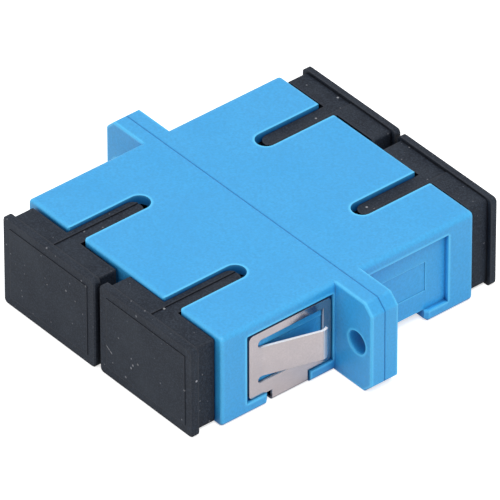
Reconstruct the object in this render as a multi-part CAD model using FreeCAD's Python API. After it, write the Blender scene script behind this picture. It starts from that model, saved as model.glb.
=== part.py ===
import FreeCAD, Part
import math
import os

os.makedirs("parts", exist_ok=True)

# Flanged duplex adapter that joins two pairs of push-pull fibre connectors.
# X runs across the two ports, Y along them and Z up. The origin is on the parting plane,
# under the middle of the flat bottom. All sizes are in millimetres.

Vec = FreeCAD.Vector
ORIGIN = Vec(0, 0, 0)
ALONG_PORTS = Vec(0, 1, 0)
UP = Vec(0, 0, 1)

# Ports and housing walls
port_pitch = 12.7
opening_width = 9.0
opening_height = 7.4
opening_corner = 0.3
side_wall = 2.0
top_wall = 0.95
half_length = 13.85
long_edge_round = 0.45
mouth_edge_round = 0.3
mouth_lead_in = 0.25

# Flange
flange_half_thickness = 1.475
flange_corner_cut = 0.96
flange_corner_round = 0.3
flange_edge_bevel = 0.1
parting_bevel = 0.08
screw_hole_diameter = 2.25
screw_hole_outset = 2.85
screw_hole_margin = 1.9

# Key slots in the top wall
key_slot_width = 2.0
key_slot_end = 6.0
key_slot_mouth_round = 0.35

# Side recesses for the panel clip, measured from the flange, the mouth face and the bottom
recess_flange_gap = 0.17
recess_length = 9.43
recess_rail = 1.15
recess_top_margin = 1.1
recess_depth = 0.48
rail_end_bevel = 0.3
notch_near_gap = 0.12
notch_far_gap = 0.5
arm_relief_depth = 0.06
arm_relief_length = 6.4

# Folded panel clip
sheet = 0.25
clip_setback = 0.2
clip_mouth_gap = 0.4
clip_flange_gap = 0.12
clip_top_gap = 0.4
clip_corner = 0.45
clip_floor_gap = 0.03
strap_width = 3.9
strap_bend = 0.2
arm_height = 3.0
arm_slot_above = 0.85
arm_slot_below = 0.65
arm_root_margin = 0.95
arm_root_straight = 0.4
arm_end_strip = 0.8
arm_angle = 16.7
arm_run = 5.25
arm_bend = 0.8
arm_curl_radius = 0.85
arm_curl_angle = 65.0
arm_corner = 0.4

# Split sleeve of each port
sleeve_bore = 2.5
sleeve_outer = 3.2
sleeve_length = 11.4
sleeve_slit = 0.5
sleeve_side_clearance = 0.05
sleeve_end_clearance = 0.05

# Sleeve holders, two to a port
holder_base = 1.5
holder_side_grip = 0.6
holder_fit = 0.05
barrel_diameter = 4.8
barrel_lip = 0.75
barrel_mouth_diameter = 3.0
barrel_flare = 0.3
latch_reach = 8.6
latch_thickness = 0.8
latch_height = 3.4
latch_wall_gap = 0.25
hook_depth = 0.6
hook_length = 1.1
hook_tip_length = 0.2

# Dust caps
cap_spacing = 0.4
cap_head_trim = 0.1
cap_head_corner = 0.5
cap_lip_thickness = 0.72
cap_lip_overhang = 0.5
cap_lip_rise = 0.2
cap_lip_bevel = 0.12
cap_shoulder_length = 2.05
cap_front_wall = 1.2
cap_panel_margin = 0.95
cap_panel_rise = 0.05
cap_plug_length = 7.35
cap_plug_wall = 0.9
cap_plug_fit = 0.05
cap_ridge_clearance = 0.1
cap_hook_clearance = 0.3
cap_step_depth = 0.1
cap_step_offset = 0.35
cap_stand_off = {"front_left": 0.3, "front_right": 0.1, "rear_left": 0.3, "rear_right": 0.2}

# Sizes worked out from the ones above
body_width = port_pitch + opening_width + 2 * side_wall
body_height = opening_height + 2 * top_wall
axis_height = body_height / 2
cap_head_height = body_height - cap_head_trim
cap_head_drop = cap_head_trim / 2
recess_near = flange_half_thickness + recess_flange_gap
recess_far = recess_near + recess_length
recess_top = body_height - recess_top_margin
recess_floor = body_width / 2 - recess_depth
sleeve_seat = sleeve_length / 2 + sleeve_end_clearance
barrel_length = sleeve_seat + barrel_lip
clip_outer_face = body_width / 2 - clip_setback
clip_far = recess_far - clip_mouth_gap
clip_near = recess_near + clip_flange_gap
clip_bottom = recess_rail + clip_floor_gap
clip_top = recess_top - clip_top_gap
clip_middle = (clip_far + clip_near) / 2
notch_near = clip_middle - strap_width / 2 - notch_near_gap
notch_far = clip_middle + strap_width / 2 + notch_far_gap
strap_groove_depth = sheet + 2 * clip_floor_gap
overshoot = 1.0


def rounded_wire(width, height, corner, y):
    """Rectangle with round corners, across the Y axis and centred on it."""
    edges = []
    first = None
    last = None
    for quarter, (side_x, side_z) in enumerate(((1, 1), (-1, 1), (-1, -1), (1, -1))):
        centre = Vec(side_x * (width / 2 - corner), y, side_z * (height / 2 - corner))
        turns = [math.radians(90 * quarter + step) for step in (0, 45, 90)]
        arc = [centre + Vec(corner * math.cos(t), 0, corner * math.sin(t)) for t in turns]
        if last:
            edges.append(Part.LineSegment(last, arc[0]).toShape())
        edges.append(Part.Arc(*arc).toShape())
        first = first or arc[0]
        last = arc[2]
    edges.append(Part.LineSegment(last, first).toShape())
    return Part.Wire(edges)


def rounded_prism(width, height, corner, y_low, y_high):
    """Bar of rounded-rectangle section between two planes across the Y axis."""
    section = Part.Face(rounded_wire(width, height, corner, y_low))
    return section.extrude(Vec(0, y_high - y_low, 0))


def box_between(low, high):
    return Part.makeBox(high[0] - low[0], high[1] - low[1], high[2] - low[2], Vec(*low))


def plain_prism(width, height, y_low, y_high):
    """Square-cornered bar, centred on the Y axis, between two planes across it."""
    return box_between((-width / 2, y_low, -height / 2), (width / 2, y_high, height / 2))


def bar_along_y(diameter, y_low, y_high):
    return Part.makeCylinder(diameter / 2, y_high - y_low, Vec(0, y_low, 0), ALONG_PORTS)


def edges_on_plane(shape, y):
    """Edges that lie wholly in the plane at y."""
    flat = []
    for edge in shape.Edges:
        box = edge.BoundBox
        if abs(box.YMin - y) < 1e-4 and abs(box.YMax - y) < 1e-4:
            flat.append(edge)
    return flat


def edges_along_y(shape):
    """Straight edges that run along the Y axis."""
    found = []
    for edge in shape.Edges:
        box = edge.BoundBox
        if box.XLength < 1e-4 and box.ZLength < 1e-4:
            found.append(edge)
    return found


def folded_sheet(start, heading, moves, thickness, depth, place):
    """Sheet that follows runs and bends in one plane, given depth across that plane.

    A move is (length, 0) for a straight run and (radius, angle) for a bend of its middle line.
    place turns a point of the plane and a depth into a point in space.
    """
    x, y = start
    angle = math.radians(heading)
    skins = {1: [], -1: []}
    ends = []

    def skin_point(centre_x, centre_y, direction, distance):
        return place(centre_x + distance * math.cos(direction), centre_y + distance * math.sin(direction), 0)

    def across(side):
        return skin_point(x, y, angle + side * math.pi / 2, thickness / 2)

    ends.append((across(1), across(-1)))
    for size, turn in moves:
        if turn == 0:
            old = {side: across(side) for side in (1, -1)}
            x += size * math.cos(angle)
            y += size * math.sin(angle)
            for side in (1, -1):
                skins[side].append(Part.LineSegment(old[side], across(side)).toShape())
            continue
        bend = math.copysign(1, turn)
        centre_x = x + size * math.cos(angle + bend * math.pi / 2)
        centre_y = y + size * math.sin(angle + bend * math.pi / 2)
        out = angle - bend * math.pi / 2
        sweep = math.radians(turn)
        for side in (1, -1):
            radius = size - side * bend * thickness / 2
            arc = [skin_point(centre_x, centre_y, out + part * sweep, radius) for part in (0, 0.5, 1)]
            skins[side].append(Part.Arc(*arc).toShape())
        x = centre_x + size * math.cos(out + sweep)
        y = centre_y + size * math.sin(out + sweep)
        angle += sweep
    ends.append((across(1), across(-1)))
    closing = [Part.LineSegment(one, other).toShape() for one, other in ends]
    wire = Part.Wire(Part.__sortEdges__(skins[1] + skins[-1] + closing))
    return Part.Face(wire).extrude(place(0, 0, depth) - place(0, 0, 0))


def key_slot_cut():
    """Key slot through the top wall, round at its inner end and eased at the mouth."""
    half = key_slot_width / 2
    ease = key_slot_mouth_round
    mouth = -half_length
    base = opening_height / 2 - opening_corner
    round_centre = -(key_slot_end + half)
    slant = ease * (1 - math.sqrt(0.5))
    left_start = Vec(-half - ease, mouth, base)
    left_wall = Vec(-half, mouth + ease, base)
    left_end = Vec(-half, round_centre, base)
    right_end = Vec(half, round_centre, base)
    right_wall = Vec(half, mouth + ease, base)
    right_start = Vec(half + ease, mouth, base)
    outside = Vec(0, -overshoot, 0)
    edges = [
        Part.Arc(left_start, Vec(-half - slant, mouth + slant, base), left_wall).toShape(),
        Part.LineSegment(left_wall, left_end).toShape(),
        Part.Arc(left_end, Vec(0, -key_slot_end, base), right_end).toShape(),
        Part.LineSegment(right_end, right_wall).toShape(),
        Part.Arc(right_wall, Vec(half + slant, mouth + slant, base), right_start).toShape(),
        Part.LineSegment(right_start, right_start + outside).toShape(),
        Part.LineSegment(right_start + outside, left_start + outside).toShape(),
        Part.LineSegment(left_start + outside, left_start).toShape(),
    ]
    return Part.Face(Part.Wire(edges)).extrude(Vec(0, 0, top_wall + opening_corner + overshoot))


def port_cut():
    """Space of one port of the front half: opening, lead-in, holder pocket and key slot."""
    opening = rounded_prism(opening_width, opening_height, opening_corner, -half_length - overshoot, 0)
    pocket_width = opening_width + 2 * holder_side_grip
    pocket = plain_prism(pocket_width, opening_height, -holder_base, overshoot)
    wide = 2 * mouth_lead_in
    lead_corner = opening_corner + mouth_lead_in
    mouth_wires = [
        rounded_wire(opening_width + wide, opening_height + wide, lead_corner, -half_length),
        rounded_wire(opening_width, opening_height, opening_corner, -half_length + mouth_lead_in),
    ]
    lead_in = Part.makeLoft(mouth_wires, True)
    return opening.multiFuse([pocket, lead_in, key_slot_cut()])


def clip_recess_cut():
    """Recess, bottom notch and arm relief for the clip, on the +X side of the front half."""
    outside = body_width / 2 + overshoot
    recess = box_between((recess_floor, -recess_far, recess_rail), (outside, -recess_near, recess_top))
    notch = box_between((recess_floor, -notch_far, -overshoot), (outside, -notch_near, 2 * recess_rail))
    groove = box_between((-overshoot, -notch_far, -overshoot), (outside, -notch_near, strap_groove_depth))
    corner_cut = recess_rail - strap_groove_depth
    corner = Part.makePolygon([
        Vec(recess_floor, -notch_far, recess_rail),
        Vec(recess_floor - corner_cut, -notch_far, strap_groove_depth),
        Vec(recess_floor, -notch_far, strap_groove_depth),
        Vec(recess_floor, -notch_far, recess_rail),
    ])
    corner_wedge = Part.Face(corner).extrude(Vec(0, notch_far - notch_near, 0))
    relief_low = axis_height - arm_height / 2
    relief_far = clip_far - arm_root_margin - arm_slot_above
    relief = box_between(
        (recess_floor - arm_relief_depth, -relief_far, relief_low),
        (outside, -relief_far + arm_relief_length, relief_low + arm_height),
    )
    return recess.multiFuse([notch, groove, corner_wedge, relief])


def flange_plate():
    """Half of the flange, with cut corners and a fine bevel along the parting line."""
    reach = body_width / 2 + screw_hole_outset + screw_hole_margin
    plate = box_between((-reach, -flange_half_thickness, 0), (reach, 0, body_height))
    plate = plate.makeChamfer(flange_corner_cut, edges_along_y(plate))
    plate = plate.makeFillet(flange_corner_round, edges_along_y(plate))
    plate = plate.makeChamfer(flange_edge_bevel, edges_on_plane(plate, -flange_half_thickness))
    return plate.makeChamfer(parting_bevel, edges_on_plane(plate, 0))


def rail_end_edges(shape):
    """Outer upright edges of the bottom rail, on the mouth side of the strap's notch."""
    found = []
    for edge in shape.Edges:
        box = edge.BoundBox
        upright = box.XLength < 1e-4 and box.YLength < 1e-4
        if upright and abs(box.YMin + notch_far) < 1e-4 and abs(abs(box.XMin) - body_width / 2) < 1e-4:
            found.append(edge)
    return found


def housing_half():
    """Front half of the housing, from its mouth face to the parting plane."""
    flange_middle = -flange_half_thickness / 2
    block = rounded_prism(body_width, body_height, long_edge_round, -half_length, flange_middle)
    block = block.makeFillet(mouth_edge_round, edges_on_plane(block, -half_length))
    block.translate(Vec(0, 0, axis_height))
    shell = block.fuse(flange_plate())
    cuts = []
    for side in (-1, 1):
        port = port_cut()
        port.translate(Vec(side * port_pitch / 2, 0, axis_height))
        cuts.append(port)
        hole = bar_along_y(screw_hole_diameter, -flange_half_thickness - overshoot, overshoot)
        hole.translate(Vec(side * (body_width / 2 + screw_hole_outset), 0, axis_height))
        cuts.append(hole)
    recess = clip_recess_cut()
    cuts.append(recess)
    cuts.append(recess.mirror(ORIGIN, Vec(1, 0, 0)))
    for cut in cuts:
        shell = shell.cut(cut)
    shell = shell.removeSplitter()
    return shell.makeChamfer(rail_end_bevel, rail_end_edges(shell))


def latch_arm():
    """Springy arm beside the barrel, with a hook that faces the port's axis."""
    outer = opening_width / 2 - latch_wall_gap
    inner = outer - latch_thickness
    catch = -(latch_reach - hook_length)
    tip = -latch_reach
    outline = [
        (inner, -holder_base / 2),
        (outer, -holder_base / 2),
        (outer, tip),
        (outer - latch_thickness / 2, tip),
        (inner - hook_depth, catch - hook_tip_length),
        (inner - hook_depth, catch),
        (inner, catch),
        (inner, -holder_base / 2),
    ]
    wire = Part.makePolygon([Vec(x, y, -latch_height / 2) for x, y in outline])
    return Part.Face(wire).extrude(Vec(0, 0, latch_height))


def sleeve_holder():
    """Inner piece of one port: base plate, barrel for the sleeve and two latch arms."""
    width = opening_width + 2 * holder_side_grip - 2 * holder_fit
    height = opening_height - 2 * holder_fit
    base = plain_prism(width, height, -holder_base, 0)
    barrel = bar_along_y(barrel_diameter, -barrel_length, 0)
    arm = latch_arm()
    holder = base.multiFuse([barrel, arm, arm.mirror(ORIGIN, Vec(1, 0, 0))])
    bore = bar_along_y(sleeve_outer + 2 * sleeve_side_clearance, -sleeve_seat, overshoot)
    mouth = bar_along_y(barrel_mouth_diameter, -barrel_length - overshoot, 0)
    flare_radius = barrel_mouth_diameter / 2
    flare_end = Vec(0, -barrel_length, 0)
    flare = Part.makeCone(flare_radius + barrel_flare, flare_radius, barrel_flare, flare_end, ALONG_PORTS)
    return holder.cut(bore).cut(mouth).cut(flare).removeSplitter()


def split_sleeve():
    """Slit tube that lines up the two ferrules of a port."""
    end = sleeve_length / 2
    tube = bar_along_y(sleeve_outer, -end, end).cut(bar_along_y(sleeve_bore, -end, end))
    slit = box_between((-sleeve_slit / 2, -end, 0), (sleeve_slit / 2, end, sleeve_outer))
    return tube.cut(slit)


def clip_plate():
    """Flat side plate of the clip on +X, with the opening that its arm is lanced from."""
    length = clip_far - clip_near
    height = clip_top - clip_bottom
    blank = rounded_prism(length, height, clip_corner, 0, sheet)
    blank.rotate(ORIGIN, UP, -90)
    middle_height = (clip_top + clip_bottom) / 2
    blank.translate(Vec(clip_outer_face - sheet, -clip_middle, middle_height))
    inner = clip_outer_face - sheet - overshoot
    outer = clip_outer_face + overshoot
    far = -(clip_far - arm_root_margin)
    near = -clip_near - arm_end_strip
    low = axis_height - arm_height / 2
    high = low + arm_height
    window = box_between((inner, far + arm_root_straight, low), (outer, near, high))
    for base, width in ((low - arm_slot_below, arm_slot_below), (high, arm_slot_above)):
        centre = Vec(inner, far + width / 2, base + width / 2)
        window = window.fuse(Part.makeCylinder(width / 2, outer - inner, centre, Vec(1, 0, 0)))
        window = window.fuse(box_between((inner, centre.y, base), (outer, near, base + width)))
    return blank.cut(window)


def clip_arm():
    """Arm that springs out of the side plate towards the flange and curls in at its end."""
    root = -(clip_far - arm_root_margin) + arm_root_straight
    low = axis_height - arm_height / 2
    moves = [(arm_bend, -arm_angle), (arm_run, 0), (arm_curl_radius, arm_curl_angle)]

    def place(x, y, depth):
        return Vec(x, y, low + depth)

    arm = folded_sheet((clip_outer_face - sheet / 2, root), 90, moves, sheet, arm_height, place)
    tip = arm.BoundBox.YMax
    outline = rounded_prism(2 * (tip - root), arm_height, arm_corner, 0, arm_run)
    outline.rotate(ORIGIN, UP, -90)
    outline.translate(Vec(clip_outer_face - sheet - overshoot, root, axis_height))
    return arm.common(outline)


def clip_strap():
    """Strap that joins the two side plates, down through the notches and under the body."""
    middle = clip_outer_face - sheet / 2
    run_down = clip_bottom + clip_corner - clip_floor_gap - strap_bend - sheet / 2
    across = 2 * (middle - strap_bend)
    moves = [(run_down, 0), (strap_bend, 90), (across, 0), (strap_bend, 90), (run_down, 0)]

    def place(x, z, depth):
        return Vec(x, -clip_middle - strap_width / 2 + depth, z)

    return folded_sheet((-middle, clip_bottom + clip_corner), -90, moves, sheet, strap_width, place)


def panel_clip():
    """One folded sheet: two side plates with sprung arms and the strap between them."""
    side = clip_plate().fuse(clip_arm())
    return clip_strap().multiFuse([side, side.mirror(ORIGIN, Vec(1, 0, 0))]).removeSplitter()


def cap_head():
    """Outer end of a dust cap: a lip with a raised panel, on a narrower shoulder."""
    lip_width = port_pitch - cap_spacing
    lip_front = -cap_shoulder_length - cap_lip_thickness
    lip = rounded_prism(lip_width, cap_head_height, cap_head_corner, lip_front, -cap_shoulder_length)
    lip = lip.makeChamfer(cap_lip_bevel, edges_on_plane(lip, lip_front))
    panel_width = lip_width - 2 * cap_panel_margin
    panel_height = cap_head_height - 2 * cap_panel_margin
    panel_front = lip_front - cap_panel_rise
    panel = plain_prism(panel_width, panel_height, panel_front, -cap_shoulder_length)
    shoulder_width = lip_width - 2 * cap_lip_overhang
    shoulder_height = cap_head_height - 2 * cap_lip_rise
    shoulder_corner = cap_head_corner - cap_lip_rise
    shoulder = rounded_prism(shoulder_width, shoulder_height, shoulder_corner, -cap_shoulder_length, 0)
    head = lip.multiFuse([panel, shoulder])
    head.translate(Vec(0, 0, -cap_head_drop))
    return head


def cap_ridge(top):
    """Key ridge along the top of the plug, round at its inner end."""
    width = key_slot_width - 2 * cap_ridge_clearance
    low = opening_height / 2 - cap_plug_fit - cap_plug_wall / 2
    round_centre = cap_plug_length - width / 2
    bar = box_between((-width / 2, 0, low), (width / 2, round_centre, top))
    end = Part.makeCylinder(width / 2, top - low, Vec(0, round_centre, low))
    return bar.fuse(end)


def dust_cap():
    """Cap of one port, with its seating face at Y 0 and its plug towards +Y."""
    top = cap_head_height / 2 - cap_lip_rise - cap_head_drop
    plug_width = opening_width - 2 * cap_plug_fit
    plug_height = opening_height - 2 * cap_plug_fit
    plug = rounded_prism(plug_width, plug_height, opening_corner, 0, cap_plug_length)
    solid = cap_head().multiFuse([plug, cap_ridge(top)])
    hollow_width = plug_width - 2 * cap_plug_wall
    hollow_height = plug_height - 2 * cap_plug_wall
    hollow_floor = -cap_shoulder_length - cap_lip_thickness + cap_front_wall
    hollow = plain_prism(hollow_width, hollow_height, hollow_floor, cap_plug_length + overshoot)
    window_start = half_length - latch_reach - cap_hook_clearance
    window_height = latch_height + 2 * cap_hook_clearance
    window = box_between(
        (-plug_width, window_start, -window_height / 2),
        (plug_width, cap_plug_length + overshoot, window_height / 2),
    )
    step = box_between(
        (-cap_step_offset, -cap_shoulder_length, top - cap_step_depth),
        (port_pitch, cap_plug_length + overshoot, top + overshoot),
    )
    return solid.cut(hollow).cut(window).cut(step).removeSplitter()


def in_port(shape, port_side, end, stand_off=0.0):
    """Copy of a port piece, moved to its port and turned to face its end of the adapter."""
    piece = shape.copy()
    piece.translate(Vec(0, -stand_off, axis_height))
    if end == "rear":
        piece.rotate(ORIGIN, UP, 180)
    piece.translate(Vec(port_side * port_pitch / 2, 0, 0))
    return piece


def save(shape, name):
    solid = shape.Solids[0] if len(shape.Solids) == 1 else shape
    solid.exportStep("parts/" + name + ".step")


housing = housing_half()
save(housing, "front_housing")
housing.rotate(ORIGIN, UP, 180)
save(housing, "rear_housing")
save(panel_clip(), "panel_clip")

holder = sleeve_holder()
sleeve = split_sleeve()
cap = dust_cap()
for port_name, port_side in (("left", -1), ("right", 1)):
    save(in_port(sleeve, port_side, "front"), "split_sleeve_" + port_name)
    for end in ("front", "rear"):
        place_name = end + "_" + port_name
        save(in_port(holder, port_side, end), "sleeve_holder_" + place_name)
        stand_off = half_length + cap_stand_off[place_name]
        save(in_port(cap, port_side, end, stand_off), "dust_cap_" + place_name)
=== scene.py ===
import math

import bpy
from mathutils import Matrix, Vector

# Looks of the duplex fibre adapter: moulded plastics, rolled spring sheet, studio light and the
# photograph's camera. Lengths are in metres and colours in linear light. In the names below,
# CELL is the size of a noise's cells, SPAN the two values between which a look changes, ENDS
# the look's values there, REACH a distance, STRENGTH how much of a look shows, TIMES what a
# colour is multiplied by, and SPECKS their spacing, radius and share of the cells.

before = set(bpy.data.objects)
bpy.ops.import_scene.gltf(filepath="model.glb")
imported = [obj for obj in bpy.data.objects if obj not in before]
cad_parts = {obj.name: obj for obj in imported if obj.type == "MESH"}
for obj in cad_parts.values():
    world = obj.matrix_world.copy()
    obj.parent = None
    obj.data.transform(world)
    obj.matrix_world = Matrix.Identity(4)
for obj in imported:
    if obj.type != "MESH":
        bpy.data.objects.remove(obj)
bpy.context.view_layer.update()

MM = 0.001
ACROSS = (1, 0, 0)
ALONG = (0, 1, 0)
UP = (0, 0, 1)
WHITE = (1, 1, 1)

# Camera of the photograph
CAMERA_AZIMUTH = 50.334
CAMERA_ELEVATION = 37.095
CAMERA_ROLL = -0.105
CAMERA_DISTANCE = 869.7 * MM
CAMERA_LENS = 737.5
CAMERA_TARGET = Vector((0, 0, 4.598 * MM))
CAMERA_OFFSET = Vector((-0.0702 * MM, -0.0544 * MM, 0))

# Light
SKY_LIGHT = 0.66
SKY_SEEN = 1.0
KEY_POWER = 1.45
KEY_PLACE = Vector((0.24, -0.06, 0.56))
KEY_SIZE = 0.30
FILL_POWER = 0.46
FILL_PLACE = Vector((-0.22, -0.44, 0.36))
FILL_SIZE = 0.30

# Floor
FLOOR_COLOUR = (0.88, 0.88, 0.88)
FLOOR_GLOW = 0.66
FLOOR_MIRRORED = 0.18
FLOOR_SIZE = 3.0

# Colours
BLUE = (0.044, 0.417, 0.843)
BLUE_DEEP = (0.038, 0.392, 0.816)
# Pale blue of the rubs, and of a painted highlight on the outer edges
BLUE_RUB_AND_HIGHLIGHT = (0.100, 0.600, 1.000)
# Dark blue of the painted shade in the seam, creases, gaps, holes and slot walls
BLUE_SHADE = (0.003, 0.090, 0.320)
NATURAL = (0.72, 0.73, 0.70)
NATURAL_DEEP = (0.66, 0.67, 0.64)
# Pale natural colour of the rubs, and of a painted highlight on the outer edges
NATURAL_RUB_AND_HIGHLIGHT = (0.80, 0.81, 0.78)
# Dark natural colour of the same painted shade
NATURAL_SHADE = (0.20, 0.20, 0.18)
BLACK = (0.011, 0.015, 0.024)
BLACK_WORN = (0.021, 0.027, 0.038)
# Paler black of a painted highlight on the caps' outer edges
BLACK_EDGE_HIGHLIGHT = (0.040, 0.044, 0.054)
# Near-black of painted shade on the caps
BLACK_SHADE = (0.002, 0.002, 0.004)
STEEL = (0.600, 0.534, 0.538)
STEEL_DEEP = (0.532, 0.474, 0.480)
# Near white of the bare cut edges, and of a painted highlight on them and on the curl
STEEL_CUT_AND_HIGHLIGHT = (0.990, 0.985, 0.980)
# Dark blue of painted shade on the sheet
STEEL_SHADE = (0.010, 0.030, 0.075)
CERAMIC = (0.86, 0.85, 0.82)
CERAMIC_DEEP = (0.82, 0.81, 0.77)
DUST = (0.55, 0.56, 0.60)

# Shared by the materials
FINE_DETAIL = 2.0
NOISE_SPAN = (0.3, 0.7)
OUTER_EDGE_SPAN = (0.74, 0.985)
OPENNESS_SAMPLES = 8
ROUNDING_SAMPLES = 6
SPECK_CORE = 0.6

# Sockets of a mix node that mixes colours
MIX_AMOUNT = 0
MIX_FIRST = 6
MIX_SECOND = 7
MIX_RESULT = 2

# Moulded plastic of the housing and the sleeve holders
CLOUD_CELL = 5 * MM
CLOUD_DETAIL = 4.0
CLOUD_SPAN = (0.35, 0.65)
GRAIN_CELL = 0.2 * MM
GRAIN_TIMES = 0.87
GRAIN_DEPTH = 0.004 * MM
FLOW_CELL = (7 * MM, 4 * MM, 3 * MM)
FLOW_DEPTH = 0.004 * MM
FLOW_SHINIER = 0.05
FLOW_DULLER = 0.06
RUB_CELL = (2.6 * MM, 0.12 * MM, 0.3 * MM)
RUB_SPAN = (0.7, 0.78)
RUB_STRENGTH = 0.2
# EDGE_REACH, EDGE_STRENGTH and EDGE_FROM_JOINT_SPAN set the painted edge highlight
EDGE_REACH = 0.32 * MM
EDGE_STRENGTH = 0.88
EDGE_ROUNDING = 0.09 * MM
EDGE_FROM_JOINT_SPAN = (0.3 * MM, 0.6 * MM)
# JOINT_SPAN and JOINT_STRENGTH set the painted shade along the seam
JOINT_SPAN = (0.05 * MM, 0.1 * MM)
JOINT_STRENGTH = 0.25
# CREASE_* and GAP_* set painted shade in creases and narrow gaps
CREASE_REACH = 0.4 * MM
CREASE_SPAN = (0.28, 0.76)
CREASE_STRENGTH = 0.85
GAP_SPAN = (0.15, 0.36)
GAP_TIMES = 0.45
# HOLE_* set painted shade deep in holes, ports and slots
HOLE_REACH = 2.6 * MM
HOLE_SPAN = (0.3, 0.52)
HOLE_STRENGTH = 0.7
# SLOT_* set painted shade on the key slots' upright walls
SLOT_PLACE = 6.35 * MM
SLOT_REACH = 1.05 * MM
SLOT_BOTTOM = 7.9 * MM
SLOT_STRENGTH = 0.6
UPRIGHT_BELOW = 0.5
HOUSING_SPECKS = (3 * MM, 0.09 * MM, 0.6)
HOUSING_SPECK_STRENGTH = 0.5
BLUE_ROUGHNESS = 0.40
NATURAL_ROUGHNESS = 0.45
MOULDED_IOR = 1.5

# Black plastic of the caps
CAP_CLOUD_CELL = 3.2 * MM
CAP_CLOUD_DETAIL = 5.0
CAP_CLOUD_SPAN = (0.4, 0.7)
CAP_GRAIN_CELL = 0.14 * MM
CAP_GRAIN_SPAN = (0.42, 0.72)
CAP_GRAIN_STRENGTH = 0.75
CAP_GRAIN_TIMES = 2.1
CAP_GRAIN_DEPTH = 0.005 * MM
SCUFF_CELL = (0.35 * MM, 4.5 * MM, 0.5 * MM)
SCUFF_SPAN = (0.66, 0.75)
SCUFF_STRENGTH = 0.4
SCUFF_TIMES = 1.5
# CAP_EDGE_REACH and CAP_EDGE_STRENGTH set the painted edge highlight
CAP_EDGE_REACH = 0.22 * MM
CAP_EDGE_STRENGTH = 0.5
CAP_EDGE_ROUNDING = 0.06 * MM
# CAP_SHADE_* and CAP_CREASE_* set painted shade where the caps are hemmed in and in creases
CAP_SHADE_REACH = 1.0 * MM
CAP_SHADE_SPAN = (0.36, 0.72)
CAP_SHADE_STRENGTH = 0.9
CAP_CREASE_REACH = 0.2 * MM
CAP_CREASE_SPAN = (0.5, 0.88)
CAP_CREASE_STRENGTH = 0.85
LARGE_SPECKS = (1.6 * MM, 0.13 * MM, 0.8)
SMALL_SPECKS = (0.8 * MM, 0.09 * MM, 0.6)
SMALL_SPECK_STRENGTH = 0.5
SCRATCH_START = Vector((0.50 * MM, -16.77 * MM, 3.72 * MM))
SCRATCH_END = Vector((1.90 * MM, -16.77 * MM, 2.82 * MM))
SCRATCH_WIDTH = 0.045 * MM
SCRATCH_CORE = 0.4
BREAK_CELL = 0.25 * MM
BREAK_DETAIL = 3.0
BREAK_SPAN = (0.4, 0.6)
BREAK_ENDS = (0.3, 1.0)
MARK_STRENGTH = 0.75
MARK_DEPTH = 0.02 * MM
CAP_ROUGHNESS_ENDS = (0.46, 0.6)
CAP_SPECULAR = 0.15
CAP_IOR = 1.48

# Steel of the clip
ROLLING_CELL = (0.05 * MM, 2.6 * MM, 0.05 * MM)
ROLLING_DETAIL = 3.0
ROLLING_SPAN = (0.35, 0.65)
ROLLING_STRENGTH = 0.4
ROLLING_TIMES = 0.8
ROLLING_DEPTH = 0.002 * MM
STEEL_CLOUD_CELL = 1.6 * MM
STEEL_CLOUD_DETAIL = 4.0
STEEL_CLOUD_SPAN = (0.35, 0.7)
STEEL_GRAIN_CELL = 0.16 * MM
STEEL_GRAIN_TIMES = 0.84
# STEEL_SHADE_* set painted shade where the sheet is hemmed in
STEEL_SHADE_REACH = 0.8 * MM
STEEL_SHADE_SPAN = (0.4, 0.75)
STEEL_SHADE_STRENGTH = 0.95
STEEL_EDGE_ROUNDING = 0.05 * MM
STEEL_ROUGHNESS_ENDS = (0.16, 0.24)
CUT_LOWEST = 0.7 * MM
CUT_SPAN = (0.25, 0.4)
CURL_LEAST_REACH = 13.4 * MM
CURL_START_SPAN = (-0.1, 0.0)
CURL_START_ENDS = (0.0, 0.5)
CURL_BACK_SPAN = (0.1, 0.5)
CURL_BACK_ENDS = (1.0, 0.45)
BARE_METAL_ENDS = (1.0, 0.05)
BARE_ROUGHNESS = 0.55

# Ceramic of the split sleeves
CERAMIC_CLOUD_CELL = 0.8 * MM
CERAMIC_CLOUD_DETAIL = 3.0
RING_CELL = (0.8 * MM, 0.06 * MM, 0.8 * MM)
RING_DEPTH = 0.001 * MM
CERAMIC_ROUGHNESS_ENDS = (0.14, 0.24)
CERAMIC_IOR = 1.6


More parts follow.
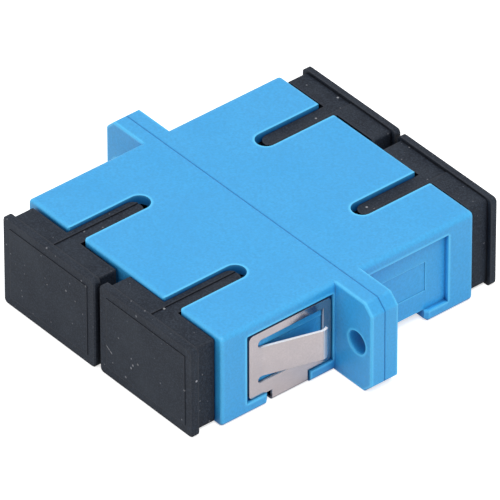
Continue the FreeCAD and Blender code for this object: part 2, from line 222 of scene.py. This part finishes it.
class Nodes:
    """Short way to write a material's nodes."""

    def __init__(self, name):
        self.material = bpy.data.materials.new(name)
        self.material.use_nodes = True
        self.tree = self.material.node_tree
        self.shader = self.tree.nodes["Principled BSDF"]
        self.place = self.add("ShaderNodeTexCoord").outputs["Object"]

    def add(self, kind, **sockets):
        node = self.tree.nodes.new(kind)
        for name, value in sockets.items():
            self.link_or_set(value, node.inputs[name.replace("_", " ")])
        return node

    def link_or_set(self, value, socket):
        if isinstance(value, bpy.types.NodeSocket):
            self.tree.links.new(value, socket)
        elif socket.type == "RGBA":
            socket.default_value = (*value, 1)
        else:
            socket.default_value = value

    def stretched(self, factors):
        """Object coordinates scaled along each axis, in texture cells for each metre."""
        return self.add("ShaderNodeMapping", Vector=self.place, Scale=factors).outputs["Vector"]

    def noise(self, cell, detail=FINE_DETAIL):
        """Noise whose cells are the given size, one length or one for each axis."""
        cells = cell if isinstance(cell, tuple) else (cell, cell, cell)
        place = self.stretched(tuple(1 / size for size in cells))
        node = self.add("ShaderNodeTexNoise", Vector=place, Scale=1.0, Detail=detail)
        return node.outputs["Fac"]

    def ramp(self, value, span, ends):
        """Straight-line change from one end to the other while a value crosses its span."""
        node = self.add("ShaderNodeMapRange", Value=value)
        node.inputs["From Min"].default_value, node.inputs["From Max"].default_value = span
        node.inputs["To Min"].default_value, node.inputs["To Max"].default_value = ends
        return node.outputs["Result"]

    def rise(self, value, span, strength=1.0):
        """0 below a value's span, and the given strength above it."""
        return self.ramp(value, span, (0.0, strength))

    def fade(self, value, span, strength=1.0):
        """The given strength below a value's span, and 0 above it."""
        return self.ramp(value, span, (strength, 0.0))

    def between(self, value, ends):
        """One end where a value is 0, and the other where it is 1."""
        return self.ramp(value, (0.0, 1.0), ends)

    def mix(self, amount, first, second):
        node = self.tree.nodes.new("ShaderNodeMix")
        node.data_type = "RGBA"
        self.link_or_set(amount, node.inputs[MIX_AMOUNT])
        self.link_or_set(first, node.inputs[MIX_FIRST])
        self.link_or_set(second, node.inputs[MIX_SECOND])
        return node.outputs[MIX_RESULT]

    def operate(self, kind, operation, first, second):
        node = self.tree.nodes.new(kind)
        node.operation = operation
        self.link_or_set(first, node.inputs[0])
        self.link_or_set(second, node.inputs[1])
        return node

    def math(self, operation, first, second=0.0):
        return self.operate("ShaderNodeMath", operation, first, second).outputs["Value"]

    def multiply(self, first, second):
        return self.math("MULTIPLY", first, second)

    def larger(self, first, second):
        return self.math("MAXIMUM", first, second)

    def above(self, value, limit):
        return self.math("GREATER_THAN", value, limit)

    def below(self, value, limit):
        return self.math("LESS_THAN", value, limit)

    def minus(self, first, second):
        """Difference of two vectors."""
        return self.operate("ShaderNodeVectorMath", "SUBTRACT", first, second).outputs["Vector"]

    def dot(self, first, second):
        return self.operate("ShaderNodeVectorMath", "DOT_PRODUCT", first, second).outputs["Value"]

    def from_middle(self, axis):
        """Distance from the part's middle along an axis, the same on both sides."""
        return self.math("ABSOLUTE", self.dot(self.place, axis))

    def turned(self, direction):
        """How far the surface faces a direction: 1 straight at it, 0 across, -1 away."""
        normal = self.add("ShaderNodeNewGeometry").outputs["True Normal"]
        return self.dot(normal, direction)

    def sheared_edges(self, lowest):
        """1 on the cut edges of a sheet that faces sideways, above the given height."""
        sideways = self.math("ABSOLUTE", self.turned(ACROSS))
        high = self.above(self.dot(self.place, UP), lowest)
        return self.multiply(self.fade(sideways, CUT_SPAN), high)

    def curled_ends(self, least_reach):
        """Strongest where a sprung arm begins to curl, beyond a distance from the middle, by
        which way the surface faces; it carries a painted highlight.
        """
        facing = self.turned(ALONG)
        start = self.ramp(facing, CURL_START_SPAN, CURL_START_ENDS)
        bend = self.multiply(start, self.ramp(facing, CURL_BACK_SPAN, CURL_BACK_ENDS))
        return self.multiply(bend, self.above(self.from_middle(ACROSS), least_reach))

    def slot_walls(self):
        """1 on the upright walls of the key slots, which are over the middle of each port."""
        beside = self.math("SUBTRACT", self.from_middle(ACROSS), SLOT_PLACE)
        inside = self.below(self.math("ABSOLUTE", beside), SLOT_REACH)
        upright = self.below(self.turned(UP), UPRIGHT_BELOW)
        high = self.above(self.dot(self.place, UP), SLOT_BOTTOM)
        return self.multiply(self.multiply(inside, upright), high)

    def bump(self, height, depth, under=None):
        """Normal for a height from 0 to 1 that stands for a depth, over the normal under it."""
        node = self.add("ShaderNodeBump", Height=height, Distance=depth)
        if under:
            self.link_or_set(under, node.inputs["Normal"])
        return node.outputs["Normal"]

    def rounded_edges(self, radius):
        """Normal that turns smoothly over the sharp edges, as moulded or cut edges do."""
        node = self.add("ShaderNodeBevel", Radius=radius)
        node.samples = ROUNDING_SAMPLES
        return node.outputs["Normal"]

    def outer_edges(self, reach):
        """1 on edges and corners that stand out, fading to 0 at a distance from them."""
        node = self.add("ShaderNodeAmbientOcclusion", Distance=reach)
        node.inside = True
        node.only_local = True
        node.samples = OPENNESS_SAMPLES
        return self.fade(node.outputs["AO"], OUTER_EDGE_SPAN)

    def openness(self, reach):
        """How much of its surroundings a point sees within a distance, 0 to 1."""
        node = self.add("ShaderNodeAmbientOcclusion", Distance=reach)
        node.samples = OPENNESS_SAMPLES
        return node.outputs["AO"]

    def specks(self, spacing, radius, share):
        """Small round marks in the given share of the cells, some strong and most faint."""
        place = self.stretched((1 / spacing,) * 3)
        node = self.add("ShaderNodeTexVoronoi", Vector=place, Scale=1.0)
        size = radius / spacing
        near = self.fade(node.outputs["Distance"], (SPECK_CORE * size, size))
        return self.multiply(near, self.rise(node.outputs["Color"], (1 - share, 1.0)))

    def scratch(self, start, end, width):
        """Broken fine line between two points of the part."""
        along = (end - start).normalized()
        offset = self.minus(self.place, start)
        run = self.dot(offset, along)
        nearest = self.add("ShaderNodeVectorMath", Vector=along)
        nearest.operation = "SCALE"
        held = self.add("ShaderNodeClamp", Value=run, Min=0.0, Max=(end - start).length)
        self.link_or_set(held.outputs["Result"], nearest.inputs["Scale"])
        gap = self.minus(offset, nearest.outputs["Vector"])
        distance = self.add("ShaderNodeVectorMath", Vector=gap)
        distance.operation = "LENGTH"
        line = self.fade(distance.outputs["Value"], (SCRATCH_CORE * width, width))
        breaks = self.ramp(self.noise(BREAK_CELL, BREAK_DETAIL), BREAK_SPAN, BREAK_ENDS)
        return self.multiply(line, breaks)

    def finish(self, **sockets):
        for name, value in sockets.items():
            self.link_or_set(value, self.shader.inputs[name.replace("_", " ")])
        return self.material


def scaled(colour, times):
    return tuple(times * part for part in colour)


def moulded_plastic(name, colour, deep_colour, rub_and_highlight_colour, shade_colour, dullness):
    """Fine spark-eroded moulding with slightly uneven colour and shine and a few pale rubs, paler
    at its edges as a painted highlight, with painted shade in its joint, creases, gaps, holes and
    slot walls.
    """
    n = Nodes(name)
    cloud = n.rise(n.noise(CLOUD_CELL, CLOUD_DETAIL), CLOUD_SPAN)
    grain = n.noise(GRAIN_CELL)
    flow = n.noise(FLOW_CELL)
    body = n.mix(cloud, colour, deep_colour)
    grainy = n.mix(n.rise(grain, NOISE_SPAN), body, scaled(deep_colour, GRAIN_TIMES))
    rubs = n.rise(n.noise(RUB_CELL), RUB_SPAN, RUB_STRENGTH)
    rubbed = n.mix(rubs, grainy, rub_and_highlight_colour)
    from_joint = n.from_middle(ALONG)
    # Painted highlight: outer edges are mixed towards the pale colour, fading out near the joint
    outer = n.outer_edges(EDGE_REACH)
    edges = n.multiply(outer, n.rise(from_joint, EDGE_FROM_JOINT_SPAN, EDGE_STRENGTH))
    highlighted = n.mix(edges, rubbed, rub_and_highlight_colour)
    # Painted shade along the seam between the two halves
    joint_shaded = n.mix(n.fade(from_joint, JOINT_SPAN, JOINT_STRENGTH), highlighted, shade_colour)
    # Painted shade in creases and narrow gaps, darkest in the narrowest
    nearby = n.openness(CREASE_REACH)
    crease_shaded = n.mix(n.fade(nearby, CREASE_SPAN, CREASE_STRENGTH), joint_shaded, shade_colour)
    gap_shaded = n.mix(n.fade(nearby, GAP_SPAN), crease_shaded, scaled(shade_colour, GAP_TIMES))
    # Painted shade deep in holes, ports and slots
    holes = n.fade(n.openness(HOLE_REACH), HOLE_SPAN, HOLE_STRENGTH)
    hole_shaded = n.mix(holes, gap_shaded, shade_colour)
    # Painted shade on the key slots' upright walls
    slot_shaded = n.mix(n.multiply(n.slot_walls(), SLOT_STRENGTH), hole_shaded, shade_colour)
    specks = n.multiply(n.specks(*HOUSING_SPECKS), HOUSING_SPECK_STRENGTH)
    dusty = n.mix(specks, slot_shaded, DUST)
    roughness = n.ramp(flow, NOISE_SPAN, (dullness - FLOW_SHINIER, dullness + FLOW_DULLER))
    flowing = n.bump(flow, FLOW_DEPTH, n.rounded_edges(EDGE_ROUNDING))
    normal = n.bump(grain, GRAIN_DEPTH, flowing)
    return n.finish(Base_Color=dusty, Roughness=roughness, Normal=normal, IOR=MOULDED_IOR)


def cap_plastic():
    """Matte black moulding with a few dust specks, faint scuffs and a scratch, a painted
    highlight on its outer edges and painted shade where it is hemmed in and in its creases.
    """
    n = Nodes("cap_black")
    cloud = n.rise(n.noise(CAP_CLOUD_CELL, CAP_CLOUD_DETAIL), CAP_CLOUD_SPAN)
    grain = n.noise(CAP_GRAIN_CELL)
    scuffs = n.rise(n.noise(SCUFF_CELL), SCUFF_SPAN, SCUFF_STRENGTH)
    body = n.mix(cloud, BLACK, BLACK_WORN)
    grains = n.rise(grain, CAP_GRAIN_SPAN, CAP_GRAIN_STRENGTH)
    grainy = n.mix(grains, body, scaled(BLACK_WORN, CAP_GRAIN_TIMES))
    scuffed = n.mix(scuffs, grainy, scaled(BLACK_WORN, SCUFF_TIMES))
    # Painted highlight: the caps' outer edges are mixed towards a paler black
    edges = n.multiply(n.outer_edges(CAP_EDGE_REACH), CAP_EDGE_STRENGTH)
    highlighted = n.mix(edges, scuffed, BLACK_EDGE_HIGHLIGHT)
    # Painted shade where the caps are hemmed in by the housing and each other, and in narrow
    # creases
    shade = n.fade(n.openness(CAP_SHADE_REACH), CAP_SHADE_SPAN, CAP_SHADE_STRENGTH)
    shaded = n.mix(shade, highlighted, BLACK_SHADE)
    creases = n.fade(n.openness(CAP_CREASE_REACH), CAP_CREASE_SPAN, CAP_CREASE_STRENGTH)
    crease_shaded = n.mix(creases, shaded, BLACK_SHADE)
    large = n.specks(*LARGE_SPECKS)
    small = n.multiply(n.specks(*SMALL_SPECKS), SMALL_SPECK_STRENGTH)
    line = n.scratch(SCRATCH_START, SCRATCH_END, SCRATCH_WIDTH)
    marks = n.larger(n.larger(large, small), line)
    marked = n.mix(n.multiply(marks, MARK_STRENGTH), crease_shaded, DUST)
    roughness = n.ramp(grain, NOISE_SPAN, CAP_ROUGHNESS_ENDS)
    grained = n.bump(grain, CAP_GRAIN_DEPTH, n.rounded_edges(CAP_EDGE_ROUNDING))
    normal = n.bump(marks, MARK_DEPTH, grained)
    n.finish(Specular_IOR_Level=CAP_SPECULAR, IOR=CAP_IOR)
    return n.finish(Base_Color=marked, Roughness=roughness, Normal=normal)


def rolled_steel():
    """Rolled spring sheet with long fine lines, dull at its curl and cut edges, with a near-white
    painted highlight there and painted shade where it is hemmed in.
    """
    n = Nodes("clip_steel")
    rolling = n.noise(ROLLING_CELL, ROLLING_DETAIL)
    cloud = n.rise(n.noise(STEEL_CLOUD_CELL, STEEL_CLOUD_DETAIL), STEEL_CLOUD_SPAN)
    body = n.mix(cloud, STEEL, STEEL_DEEP)
    lines = n.rise(rolling, ROLLING_SPAN, ROLLING_STRENGTH)
    lined = n.mix(lines, body, scaled(STEEL_DEEP, ROLLING_TIMES))
    grains = n.rise(n.noise(STEEL_GRAIN_CELL), NOISE_SPAN)
    grainy = n.mix(grains, lined, scaled(STEEL, STEEL_GRAIN_TIMES))
    # Cut edges are bare, paler and duller metal; a near-white painted highlight is laid on them
    # and on the curl
    cut_and_curl = n.larger(n.sheared_edges(CUT_LOWEST), n.curled_ends(CURL_LEAST_REACH))
    cut_and_curl_painted = n.mix(cut_and_curl, grainy, STEEL_CUT_AND_HIGHLIGHT)
    # Painted shade where the sheet is hemmed in, in the gaps around it and under the arm
    shade = n.fade(n.openness(STEEL_SHADE_REACH), STEEL_SHADE_SPAN, STEEL_SHADE_STRENGTH)
    shaded = n.mix(shade, cut_and_curl_painted, STEEL_SHADE)
    metal = n.between(cut_and_curl, BARE_METAL_ENDS)
    rolled = n.between(cloud, STEEL_ROUGHNESS_ENDS)
    roughness = n.larger(rolled, n.multiply(cut_and_curl, BARE_ROUGHNESS))
    normal = n.bump(rolling, ROLLING_DEPTH, n.rounded_edges(STEEL_EDGE_ROUNDING))
    return n.finish(Base_Color=shaded, Metallic=metal, Roughness=roughness, Normal=normal)


def polished_ceramic():
    """Ground and polished white ceramic."""
    n = Nodes("sleeve_ceramic")
    cloud = n.noise(CERAMIC_CLOUD_CELL, CERAMIC_CLOUD_DETAIL)
    rings = n.noise(RING_CELL)
    body = n.mix(cloud, CERAMIC, CERAMIC_DEEP)
    roughness = n.ramp(rings, NOISE_SPAN, CERAMIC_ROUGHNESS_ENDS)
    normal = n.bump(rings, RING_DEPTH)
    return n.finish(Base_Color=body, Roughness=roughness, Normal=normal, IOR=CERAMIC_IOR)


def dress(material, *starts):
    """Gives a material to every CAD node whose name starts in one of the given ways."""
    for name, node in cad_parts.items():
        if name.startswith(starts):
            node.data.materials.clear()
            node.data.materials.append(material)


def place_in_scene(name, data, place, turn):
    """Puts a lamp or a camera at a place, turned to look down its own -Z."""
    item = bpy.data.objects.new(name, data)
    item.location = place
    item.rotation_mode = "QUATERNION"
    item.rotation_quaternion = turn
    bpy.context.scene.collection.objects.link(item)
    return item


def soft_box(name, power, place, size):
    """Square area lamp that faces the part."""
    lamp = bpy.data.lights.new(name, "AREA")
    lamp.energy = power
    lamp.size = size
    place_in_scene(name, lamp, place, (place - CAMERA_TARGET).to_track_quat("Z", "Y"))


def strength_by_ray(tree, hidden, mirrored, seen):
    """A strength as a light, another as mirrored or seen through, and a third as seen."""
    rays = tree.nodes.new("ShaderNodeLightPath")
    total = None
    kinds = (
        ("Is Glossy Ray", mirrored),
        ("Is Transmission Ray", mirrored),
        ("Is Camera Ray", seen),
    )
    for name, strength in kinds:
        part = tree.nodes.new("ShaderNodeMath")
        part.operation = "MULTIPLY_ADD"
        tree.links.new(rays.outputs[name], part.inputs[0])
        part.inputs[1].default_value = strength - hidden
        part.inputs[2].default_value = hidden
        if total:
            tree.links.new(total, part.inputs[2])
        total = part.outputs[0]
    return total


def make_sky():
    """White studio: plain white where it is seen, softer as a light."""
    world = bpy.data.worlds.new("studio")
    world.use_nodes = True
    tree = world.node_tree
    background = tree.nodes["Background"]
    strength = strength_by_ray(tree, SKY_LIGHT, SKY_SEEN, SKY_SEEN)
    tree.links.new(strength, background.inputs["Strength"])
    background.inputs["Color"].default_value = (*WHITE, 1)
    bpy.context.scene.world = world


def make_floor():
    """Pale floor that reads as white and keeps the part's shadow."""
    half = FLOOR_SIZE / 2
    corners = [(-half, -half, 0), (half, -half, 0), (half, half, 0), (-half, half, 0)]
    mesh = bpy.data.meshes.new("floor")
    mesh.from_pydata(corners, [], [(0, 1, 2, 3)])
    floor = bpy.data.objects.new("floor", mesh)
    bpy.context.scene.collection.objects.link(floor)
    n = Nodes("floor")
    glow = strength_by_ray(n.tree, 0.0, FLOOR_MIRRORED, FLOOR_GLOW)
    n.finish(Base_Color=FLOOR_COLOUR, Roughness=1.0, Specular_IOR_Level=0.0)
    n.finish(Emission_Color=WHITE, Emission_Strength=glow)
    mesh.materials.append(n.material)


def make_camera():
    """Camera at the photograph's viewing angle."""
    azimuth = math.radians(CAMERA_AZIMUTH)
    elevation = math.radians(CAMERA_ELEVATION)
    level = math.cos(elevation)
    back = Vector((math.sin(azimuth) * level, -math.cos(azimuth) * level, math.sin(elevation)))
    roll = Matrix.Rotation(math.radians(CAMERA_ROLL), 3, "Z").to_quaternion()
    turn = back.to_track_quat("Z", "Y") @ roll
    place = CAMERA_TARGET + turn @ CAMERA_OFFSET + back * CAMERA_DISTANCE
    camera = bpy.data.cameras.new("camera")
    camera.lens = CAMERA_LENS
    bpy.context.scene.camera = place_in_scene("camera", camera, place, turn)


make_camera()
make_sky()
make_floor()
soft_box("key", KEY_POWER, KEY_PLACE, KEY_SIZE)
soft_box("fill", FILL_POWER, FILL_PLACE, FILL_SIZE)
bpy.context.scene.view_settings.view_transform = "Standard"

blue_colours = (BLUE, BLUE_DEEP, BLUE_RUB_AND_HIGHLIGHT, BLUE_SHADE)
blue = moulded_plastic("housing_blue", *blue_colours, BLUE_ROUGHNESS)
dress(blue, "front_housing", "rear_housing")
dress(cap_plastic(), "dust_cap")
dress(rolled_steel(), "panel_clip")
natural_colours = (NATURAL, NATURAL_DEEP, NATURAL_RUB_AND_HIGHLIGHT, NATURAL_SHADE)
natural = moulded_plastic("holder_natural", *natural_colours, NATURAL_ROUGHNESS)
dress(natural, "sleeve_holder")
dress(polished_ceramic(), "split_sleeve")
